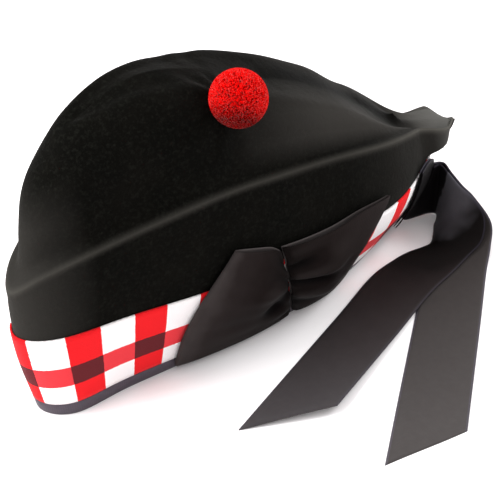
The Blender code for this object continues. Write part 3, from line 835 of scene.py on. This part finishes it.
def tailRoot(run, lift, climb, layer):
    # a line across the tail where it lies sewn on the wall
    stand = bow["overBand"] + lift * tails["rootLift"] + layer * tails["layer"]
    share = np.linspace(0, 1, tails["columns"] + 1)
    place = tails["place"] - (tails["rootRun"] - tails["rootLean"] * share) * (1 - run)
    heights = tails["foot"] + tails["rootClimb"] * climb + tails["width"] * share
    turn = wallTurn(place, np.full(len(share), tails["width"] / 2))
    return wallSkin(turn, heights, stand)


def tailLines(table, length):
    root = tailRoot(*tails["root"][-1], 1)[tails["columns"] // 2]
    share = (np.linspace(0, 1, tails["columns"] + 1) - 0.5)[:, None]
    lines = []
    for x, y, heading, tilt, layer in table:
        heading, tilt = radians(heading), radians(tilt)
        across = np.array((cos(heading) * cos(tilt), sin(heading) * cos(tilt), sin(tilt)))
        height = tails["thickness"] / 2 + layer * tails["layer"] + sin(tilt) * tails["width"] / 2
        lines.append(np.array((root[0] + x * length, root[1] + y * length, height))
                     + across * share * tails["width"])
    return lines


def under(before, line, after):
    # a line of the lower tail, which follows the upper one's inner side through its bends
    across = line[-1] - line[0]
    first, second = line - before, after - line
    bend = np.arccos(np.clip((first * second).sum(-1) / np.linalg.norm(first, axis=-1)
                             / np.linalg.norm(second, axis=-1), -1, 1))
    away = unit(np.cross(across, before - after))
    return line - away * (tails["spread"] / np.cos(bend / 2))[:, None]


def tailRows(lines):
    # the last stretch ends in a slanting cut
    last = len(lines) - 1
    run = np.linalg.norm(lines[-1][0] - lines[-2][0])
    steps = np.linspace(0, last, tails["steps"] * last + 1)
    rows = []
    for index in range(tails["columns"] + 1):
        cut = tails["cut"] / run * index / tails["columns"]
        places = np.where(steps > last - 1, last - 1 + (steps - last + 1) * (1 - cut), steps)
        rows.append(smoothAlong(np.array([line[index] for line in lines]), places))
    rows = np.array(rows).transpose(1, 0, 2)
    rows[..., 2] = np.maximum(rows[..., 2], tails["thickness"] / 2)
    return rows


def makeTail(name, node, lines, look):
    rows = tailRows(lines)
    along = climbAlong(rows)
    across = np.linspace(0, tails["width"], tails["columns"] + 1)
    uv = weaveOf(across[None, :], along)
    tail = gridObject(name, rows, uv)
    thicken(tail, tails["thickness"], 0)
    place(tail, looks[look], node, "ribbon")


upper = [tailRoot(*row, 1) for row in tails["root"]] + tailLines(tails["upper"], tails["upperLength"])
lower = [tailRoot(*row, 0) for row in tails["root"]]
for index in range(len(lower), len(lower) + tails["shared"]):
    lower.append(under(upper[index - 1], upper[index], upper[index + 1]))
lower += tailLines(tails["lower"], tails["lowerLength"])
makeTail("ribbon_tail_lower", "tail_lower", lower, "lowerRibbon")
makeTail("ribbon_tail_upper", "tail_upper", upper, "upperRibbon")
print("tails made", flush=True)

# The toorie: strands of yarn out from a core, with Geometry Nodes


def strandGroup():
    # thin cones stand on the core's faces, each leaning its own way, and noise curls them
    group = bpy.data.node_groups.new("YarnStrands", "GeometryNodeTree")
    group.interface.new_socket(name="Geometry", in_out="OUTPUT", socket_type="NodeSocketGeometry")
    for name, kind in (("Geometry", "Geometry"), ("Density", "Float"), ("Length", "Float"),
                       ("Thickness", "Float"), ("Lean", "Float"), ("Curl", "Float"), ("Seed", "Int"),
                       ("Material", "Material")):
        group.interface.new_socket(name=name, in_out="INPUT", socket_type="NodeSocket" + kind)
    given = group.nodes.new("NodeGroupInput").outputs

    def times(value, factor):
        return addNode(group, "ShaderNodeMath", {0: value, 1: factor}, operation="MULTIPLY").outputs[0]

    def triple(first, second, third):
        return addNode(group, "ShaderNodeCombineXYZ", {0: first, 1: second, 2: third}).outputs[0]

    points = addNode(group, "GeometryNodeDistributePointsOnFaces",
                     {"Mesh": given["Geometry"], "Density": given["Density"], "Seed": given["Seed"]})
    cone = addNode(group, "GeometryNodeMeshCone",
                   {"Vertices": 3, "Side Segments": 3, "Radius Bottom": given["Thickness"],
                    "Radius Top": times(given["Thickness"], toorie["narrowing"]), "Depth": given["Length"]})
    back, ahead = times(given["Lean"], -1.0), given["Lean"]
    lean = addNode(group, "FunctionNodeRandomValue",
                   {0: triple(back, back, -toorie["turn"]), 1: triple(ahead, ahead, toorie["turn"]),
                    "Seed": given["Seed"]}, data_type="FLOAT_VECTOR")
    turned = addNode(group, "FunctionNodeRotateRotation",
                     {"Rotation": points.outputs["Rotation"], "Rotate By": lean.outputs[0]},
                     rotation_space="LOCAL")
    size = addNode(group, "FunctionNodeRandomValue",
                   {2: toorie["least"], 3: toorie["most"], "Seed": given["Seed"]}, data_type="FLOAT")
    spread = addNode(group, "GeometryNodeInstanceOnPoints",
                     {"Points": points.outputs["Points"], "Instance": cone.outputs["Mesh"],
                      "Rotation": turned.outputs[0], "Scale": size.outputs[1]})
    real = addNode(group, "GeometryNodeRealizeInstances", {"Geometry": spread.outputs[0]})
    place = group.nodes.new("GeometryNodeInputPosition")
    noise = addNode(group, "ShaderNodeTexNoise",
                    {"Vector": place.outputs[0], "Scale": toorie["curlScale"], "Detail": 1.0})
    centred = addNode(group, "ShaderNodeVectorMath", {0: noise.outputs["Color"], 1: (0.5, 0.5, 0.5)},
                      operation="SUBTRACT")
    shift = addNode(group, "ShaderNodeVectorMath", {0: centred.outputs[0], "Scale": given["Curl"]},
                    operation="SCALE")
    curled = addNode(group, "GeometryNodeSetPosition",
                     {"Geometry": real.outputs[0], "Offset": shift.outputs[0]})
    join = addNode(group, "GeometryNodeJoinGeometry", {"Geometry": curled.outputs[0]})
    group.links.new(given["Geometry"], join.inputs[0])
    dressed = addNode(group, "GeometryNodeSetMaterial",
                      {"Geometry": join.outputs[0], "Material": given["Material"]})
    group.links.new(dressed.outputs[0], group.nodes.new("NodeGroupOutput").inputs[0])
    return group


def runGroup(thing, group, values):
    modifier = thing.modifiers.new(group.name, "NODES")
    modifier.node_group = group
    for item in group.interface.items_tree:
        if item.in_out == "INPUT" and item.name in values:
            modifier[item.identifier] = values[item.name]
    settle(thing)


def makeToorie():
    work = bmesh.new()
    bmesh.ops.create_icosphere(work, subdivisions=4, radius=toorie["core"])
    mesh = bpy.data.meshes.new("toorie_yarn")
    work.to_mesh(mesh)
    work.free()
    head = addObject("toorie_yarn", mesh)
    runGroup(head, strandGroup(), {
        "Density": toorie["strands"] / (4 * pi * toorie["core"] ** 2), "Length": toorie["strand"],
        "Thickness": toorie["thickness"], "Lean": toorie["lean"], "Curl": toorie["curl"],
        "Seed": toorie["seed"], "Material": looks["wool"],
    })
    coords = np.zeros(len(head.data.vertices) * 3)
    head.data.vertices.foreach_get("co", coords)
    coords = coords.reshape(-1, 3)
    reach = np.linalg.norm(coords, axis=-1, keepdims=True)
    coords *= np.minimum(1, toorie["radius"] / np.maximum(reach, 1e-9))  # the yarn is trimmed to a ball
    coords += toorie["seat"] + toorie["away"] * (toorie["radius"] - toorie["sink"])
    sunk = trim["gap"] - (coords - toorie["seat"]) @ toorie["away"]
    coords += np.maximum(sunk, 0)[:, None] * toorie["away"]  # and pressed flat where it sits
    head.data.vertices.foreach_set("co", coords.ravel())
    head.data.update()
    head.data.shade_smooth()
    place(head, looks["wool"], "toorie", "wool")
    print("toorie made,", len(head.data.polygons), "faces", flush=True)


makeToorie()

# The floor, the light and the camera

scene = bpy.context.scene
studio = {
    # the eye and the target are measured from the cap's middle
    "eye": (-0.3078, -0.3319, 0.3562), "target": (0.0266, 0.0267, 0.0), "lens": 72, "sensor": 36,
    "floorSize": 12, "floor": (0.93, 0.905, 0.91), "floorLight": (0.95, 0.935, 0.94), "floorScale": 3.0,
    "floorGrain": 700.0, "floorBump": (0.05, 0.0002),
    "world": (1.0, 0.985, 0.99), "worldStrength": 1.02,
    # name, place, target, size and power
    "lights": (("key", (-0.9, 0.75, 1.5), (0, 0.05, 0.05), 1.0, 28),
               ("side", (0.85, -0.25, 0.75), (0.10, 0, 0.08), 0.5, 6),
               ("front", (-1.1, 0.35, 0.45), (-0.12, 0.05, 0.08), 0.5, 7)),
}


def makeFloor():
    bpy.ops.mesh.primitive_plane_add(size=studio["floorSize"], location=(0, 0, 0))
    floor = bpy.context.object
    floor.name = "floor"
    look = Look("paper")
    place = look.position()
    tone = look.noise(place, studio["floorScale"], 2)
    tone = look.mix(tone, (*studio["floor"], 1), (*studio["floorLight"], 1))
    look.surface(Base_Color=tone, Roughness=0.9, Specular_IOR_Level=0.2,
                 Normal=look.bump(look.noise(place, studio["floorGrain"], 3), *studio["floorBump"]))
    floor.data.materials.append(look.material)


def makeLight(name, place, target, size, power):
    light = bpy.data.lights.new(name, "AREA")
    light.shape = "DISK"
    light.size = size
    light.energy = power
    thing = addObject(name, light)
    thing.location = place
    thing.rotation_euler = (Vector(target) - Vector(place)).to_track_quat("-Z", "Y").to_euler()


def makeCamera():
    data = bpy.data.cameras.new("camera")
    data.lens = studio["lens"]
    data.sensor_width = studio["sensor"]
    data.clip_start = 0.01
    camera = addObject("camera", data)
    eye, target = Vector(studio["eye"]), Vector(studio["target"])
    camera.location = eye + Vector(capPlace)
    camera.rotation_euler = (target - eye).to_track_quat("-Z", "Y").to_euler()
    scene.camera = camera


makeFloor()
for light in studio["lights"]:
    makeLight(*light)
makeCamera()
world = bpy.data.worlds.new("studio")
world.use_nodes = True
background = world.node_tree.nodes["Background"]
background.inputs["Color"].default_value = (*studio["world"], 1)
background.inputs["Strength"].default_value = studio["worldStrength"]
scene.world = world
scene.view_settings.view_transform = "Standard"
